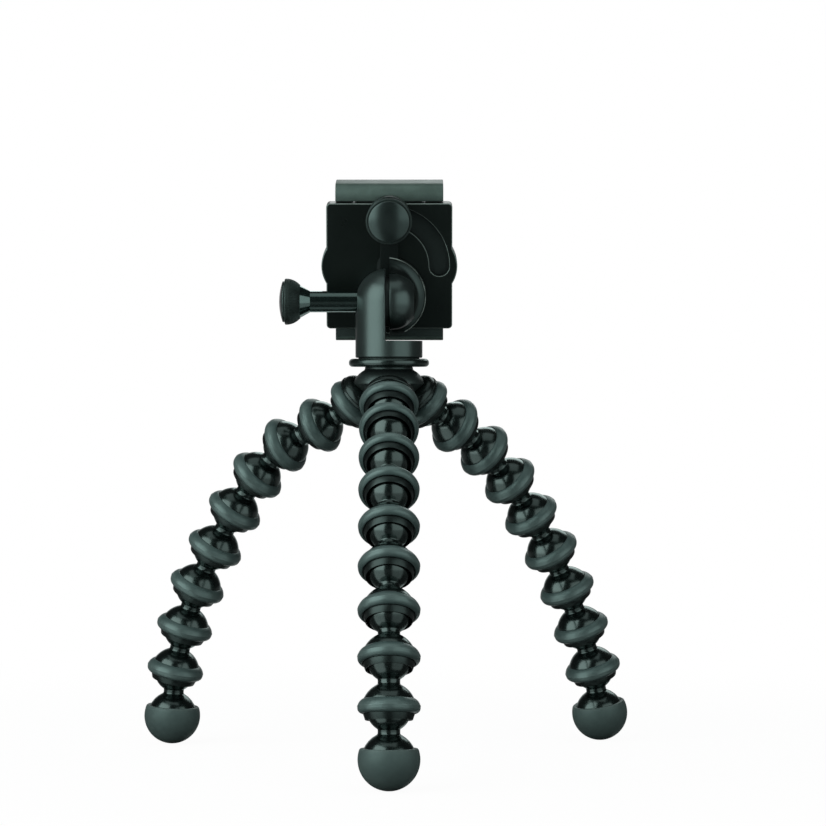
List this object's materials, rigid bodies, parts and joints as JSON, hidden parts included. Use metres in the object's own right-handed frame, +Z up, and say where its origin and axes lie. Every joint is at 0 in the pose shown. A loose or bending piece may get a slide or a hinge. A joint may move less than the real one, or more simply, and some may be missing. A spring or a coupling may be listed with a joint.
{
  "type": "flexible leg tripod",
  "caption": "Small tripod with three flexible ball-jointed legs, rubber rings and feet, a panning and tilting head with a lock knob, and a sprung swivelling phone clamp.",
  "frame": {"origin": "on the floor that the three feet stand on, under the middle of the hub", "axes": "+Z up; the front leg points along -Y, towards the side that the two lock knobs face; the phone stands on the +Y side of the clamp"},
  "size_m": [0.2182, 0.207, 0.2526],
  "materials": {
    "leg_plastic": "gloss",
    "leg_rubber": "matte",
    "hub_plastic": "gloss",
    "collar_plastic": "gloss",
    "head_metal": "satin",
    "bracket_metal": "satin",
    "clamp_plastic": "satin",
    "knob_rubber": "satin",
    "knob_metal": "satin",
    "jaw_rubber": "matte",
    "pad_rubber": "matte",
    "steel": "satin",
    "rod_chrome": "polished",
    "brass": "satin",
    "washer_plastic": "matte"
  },
  "bodies": {
    "base": {"hub": "hub_plastic", "hub_rings": "leg_rubber", "collar_ring": "collar_plastic", "pan_washer": "washer_plastic", "spring_washer": "steel"},
    "head": {"head_housing": "head_metal", "pan_bolt": "steel", "pan_insert": "brass"},
    "tilt_knob": {"tilt_knob_core": "knob_metal", "tilt_knob_grip": "knob_rubber", "tilt_knob_insert": "brass", "tilt_knob_cap": "knob_rubber"},
    "bracket": {"tilt_bracket": "bracket_metal", "tilt_bolt": "steel", "tilt_washer": "washer_plastic", "pivot_bolt": "steel", "bracket_washers": "washer_plastic", "slot_slider": "washer_plastic"},
    "swivel_knob": {"swivel_knob_core": "knob_metal", "swivel_knob_grip": "knob_rubber", "swivel_knob_cap": "knob_rubber", "swivel_screw": "steel"},
    "clamp": {"back_plate": "clamp_plastic", "mid_plate": "clamp_plastic", "front_plate": "clamp_plastic", "plate_screws": "steel", "front_pad": "pad_rubber", "lower_jaw": "clamp_plastic", "lower_jaw_skin": "jaw_rubber", "jaw_springs": "steel"},
    "upper_jaw": {"upper_jaw": "clamp_plastic", "upper_jaw_skin": "jaw_rubber", "guide_rods": "rod_chrome"},
    "leg_front_link_1": {"leg_front_link_1": "leg_plastic"},
    "leg_front_link_2": {"leg_front_link_2": "leg_plastic"},
    "leg_front_link_3": {"leg_front_link_3": "leg_plastic"},
    "leg_front_link_4": {"leg_front_link_4": "leg_plastic"},
    "leg_front_link_5": {"leg_front_link_5": "leg_plastic"},
    "leg_front_link_6": {"leg_front_link_6": "leg_plastic"},
    "leg_front_link_7": {"leg_front_link_7": "leg_plastic"},
    "leg_front_link_8": {"leg_front_link_8": "leg_plastic"},
    "leg_front_foot": {"leg_front_foot": "leg_rubber"},
    "leg_right_link_1": {"leg_right_link_1": "leg_plastic"},
    "leg_right_link_2": {"leg_right_link_2": "leg_plastic"},
    "leg_right_link_3": {"leg_right_link_3": "leg_plastic"},
    "leg_right_link_4": {"leg_right_link_4": "leg_plastic"},
    "leg_right_link_5": {"leg_right_link_5": "leg_plastic"},
    "leg_right_link_6": {"leg_right_link_6": "leg_plastic"},
    "leg_right_link_7": {"leg_right_link_7": "leg_plastic"},
    "leg_right_link_8": {"leg_right_link_8": "leg_plastic"},
    "leg_right_foot": {"leg_right_foot": "leg_rubber"},
    "leg_left_link_1": {"leg_left_link_1": "leg_plastic"},
    "leg_left_link_2": {"leg_left_link_2": "leg_plastic"},
    "leg_left_link_3": {"leg_left_link_3": "leg_plastic"},
    "leg_left_link_4": {"leg_left_link_4": "leg_plastic"},
    "leg_left_link_5": {"leg_left_link_5": "leg_plastic"},
    "leg_left_link_6": {"leg_left_link_6": "leg_plastic"},
    "leg_left_link_7": {"leg_left_link_7": "leg_plastic"},
    "leg_left_link_8": {"leg_left_link_8": "leg_plastic"},
    "leg_left_foot": {"leg_left_foot": "leg_rubber"}
  },
  "joints": [
    {"name": "head_pan", "type": "hinge", "parent": "base", "child": "head", "pos_m": [0, 0, 0.1729], "axis": [0, 0, 1], "continuous": true},
    {"name": "head_tilt", "type": "hinge", "parent": "head", "child": "bracket", "pos_m": [0, 0, 0.1972], "axis": [1, -0.0087, 0], "range_deg": [-12, 80]},
    {"name": "tilt_knob_turn", "type": "hinge", "parent": "head", "child": "tilt_knob", "pos_m": [-0.0145, 0.00013, 0.1972], "axis": [-1, 0.0087, 0], "continuous": true},
    {"name": "swivel_knob_turn", "type": "hinge", "parent": "bracket", "child": "swivel_knob", "pos_m": [0.00006, 0.00688, 0.23368], "axis": [-0.0086, -0.9877, -0.1564], "continuous": true},
    {"name": "clamp_swivel", "type": "hinge", "parent": "bracket", "child": "clamp", "pos_m": [0.00015, 0.01722, 0.21314], "axis": [-0.0086, -0.9877, -0.1564], "range_deg": [0, 90]},
    {"name": "jaw_slide", "type": "slide", "parent": "clamp", "child": "upper_jaw", "axis": [-0.0014, -0.1564, 0.9877], "range_m": [0, 0.035], "stiffness_N_per_m": 250, "springref_m": -0.02, "deforming": ["jaw_springs"]},
    {"name": "leg_front_link_1_bend", "type": "hinge", "parent": "base", "child": "leg_front_link_1", "pos_m": [0, -0.0179, 0.1521], "axis": [-1, 0, 0], "range_deg": [-37, 12]},
    {"name": "leg_front_link_2_bend", "type": "hinge", "parent": "leg_front_link_1", "child": "leg_front_link_2", "pos_m": [0, -0.03505, 0.1422], "axis": [0, 0.6018, -0.7986], "range_deg": [-20, 20]},
    {"name": "leg_front_link_3_bend", "type": "hinge", "parent": "leg_front_link_2", "child": "leg_front_link_3", "pos_m": [0, -0.05086, 0.13029], "axis": [1, 0, 0], "range_deg": [-28, 20]},
    {"name": "leg_front_link_4_bend", "type": "hinge", "parent": "leg_front_link_3", "child": "leg_front_link_4", "pos_m": [0, -0.06581, 0.1173], "axis": [0, -0.7431, 0.6691], "range_deg": [-20, 20]},
    {"name": "leg_front_link_5_bend", "type": "hinge", "parent": "leg_front_link_4", "child": "leg_front_link_5", "pos_m": [0, -0.07906, 0.10258], "axis": [-1, 0, 0], "range_deg": [-21, 28]},
    {"name": "leg_front_link_6_bend", "type": "hinge", "parent": "leg_front_link_5", "child": "leg_front_link_6", "pos_m": [0, -0.09125, 0.08698], "axis": [0, 0.8572, -0.515], "range_deg": [-20, 20]},
    {"name": "leg_front_link_7_bend", "type": "hinge", "parent": "leg_front_link_6", "child": "leg_front_link_7", "pos_m": [0, -0.10145, 0.07], "axis": [1, 0, 0], "range_deg": [-33, 16]},
    {"name": "leg_front_link_8_bend", "type": "hinge", "parent": "leg_front_link_7", "child": "leg_front_link_8", "pos_m": [0, -0.10918, 0.05178], "axis": [0, -0.9848, 0.1736], "range_deg": [-20, 20]},
    {"name": "leg_front_foot_bend", "type": "hinge", "parent": "leg_front_link_8", "child": "leg_front_foot", "pos_m": [0, -0.11262, 0.03227], "axis": [-1, 0, 0], "range_deg": [-17, 31]},
    {"name": "leg_right_link_1_bend", "type": "hinge", "parent": "base", "child": "leg_right_link_1", "pos_m": [0.0155, 0.00895, 0.1521], "axis": [0.5948, -0.8039, 0], "range_deg": [-39, 10]},
    {"name": "leg_right_link_2_bend", "type": "hinge", "parent": "leg_right_link_1", "child": "leg_right_link_2", "pos_m": [0.02959, 0.01938, 0.14289], "axis": [-0.458, -0.3389, -0.8218], "range_deg": [-20, 20]},
    {"name": "leg_right_link_3_bend", "type": "hinge", "parent": "leg_right_link_2", "child": "leg_right_link_3", "pos_m": [0.04267, 0.02905, 0.13161], "axis": [-0.5948, 0.8039, 0], "range_deg": [-33, 16]},
    {"name": "leg_right_link_4_bend", "type": "hinge", "parent": "leg_right_link_3", "child": "leg_right_link_4", "pos_m": [0.05417, 0.03757, 0.11792], "axis": [0.6398, 0.4734, 0.6055], "range_deg": [-20, 20]},
    {"name": "leg_right_link_5_bend", "type": "hinge", "parent": "leg_right_link_4", "child": "leg_right_link_5", "pos_m": [0.06381, 0.0447, 0.10216], "axis": [0.5948, -0.8039, 0], "range_deg": [-22, 27]},
    {"name": "leg_right_link_6_bend", "type": "hinge", "parent": "leg_right_link_5", "child": "leg_right_link_6", "pos_m": [0.073, 0.0515, 0.08599], "axis": [-0.708, -0.5239, -0.4735], "range_deg": [-20, 20]},
    {"name": "leg_right_link_7_bend", "type": "hinge", "parent": "leg_right_link_6", "child": "leg_right_link_7", "pos_m": [0.08054, 0.05707, 0.06855], "axis": [-0.5948, 0.8039, 0], "range_deg": [-28, 20]},
    {"name": "leg_right_link_8_bend", "type": "hinge", "parent": "leg_right_link_7", "child": "leg_right_link_8", "pos_m": [0.08708, 0.06191, 0.0505], "axis": [0.7541, 0.558, 0.3464], "range_deg": [-20, 20]},
    {"name": "leg_right_foot_bend", "type": "hinge", "parent": "leg_right_link_8", "child": "leg_right_foot", "pos_m": [0.09259, 0.06599, 0.03192], "axis": [0.5948, -0.8039, 0], "range_deg": [-16, 33]},
    {"name": "leg_left_link_1_bend", "type": "hinge", "parent": "base", "child": "leg_left_link_1", "pos_m": [-0.0155, 0.00895, 0.1521], "axis": [0.4848, 0.8746, 0], "range_deg": [-40, 9]},
    {"name": "leg_left_link_2_bend", "type": "hinge", "parent": "leg_left_link_1", "child": "leg_left_link_2", "pos_m": [-0.03096, 0.01752, 0.14317], "axis": [0.3946, -0.2187, -0.8924], "range_deg": [-20, 20]},
    {"name": "leg_left_link_3_bend", "type": "hinge", "parent": "leg_left_link_2", "child": "leg_left_link_3", "pos_m": [-0.04641, 0.02609, 0.13424], "axis": [-0.4848, -0.8746, 0], "range_deg": [-42, 8]},
    {"name": "leg_left_link_4_bend", "type": "hinge", "parent": "leg_left_link_3", "child": "leg_left_link_4", "pos_m": [-0.05891, 0.03301, 0.12053], "axis": [-0.7059, 0.3913, 0.5904], "range_deg": [-20, 20]},
    {"name": "leg_left_link_5_bend", "type": "hinge", "parent": "leg_left_link_4", "child": "leg_left_link_5", "pos_m": [-0.06913, 0.03868, 0.10454], "axis": [0.4848, 0.8746, 0], "range_deg": [-19, 30]},
    {"name": "leg_left_link_6_bend", "type": "hinge", "parent": "leg_left_link_5", "child": "leg_left_link_6", "pos_m": [-0.0781, 0.04365, 0.0876], "axis": [0.7709, -0.4273, -0.4723], "range_deg": [-20, 20]},
    {"name": "leg_left_link_7_bend", "type": "hinge", "parent": "leg_left_link_6", "child": "leg_left_link_7", "pos_m": [-0.08628, 0.04818, 0.07015], "axis": [-0.4848, -0.8746, 0], "range_deg": [-33, 15]},
    {"name": "leg_left_link_8_bend", "type": "hinge", "parent": "leg_left_link_7", "child": "leg_left_link_8", "pos_m": [-0.09197, 0.05134, 0.05145], "axis": [-0.848, 0.47, 0.245], "range_deg": [-20, 20]},
    {"name": "leg_left_foot_bend", "type": "hinge", "parent": "leg_left_link_8", "child": "leg_left_foot", "pos_m": [-0.09621, 0.05369, 0.03225], "axis": [0.4848, 0.8746, 0], "range_deg": [-14, 34]}
  ]
}
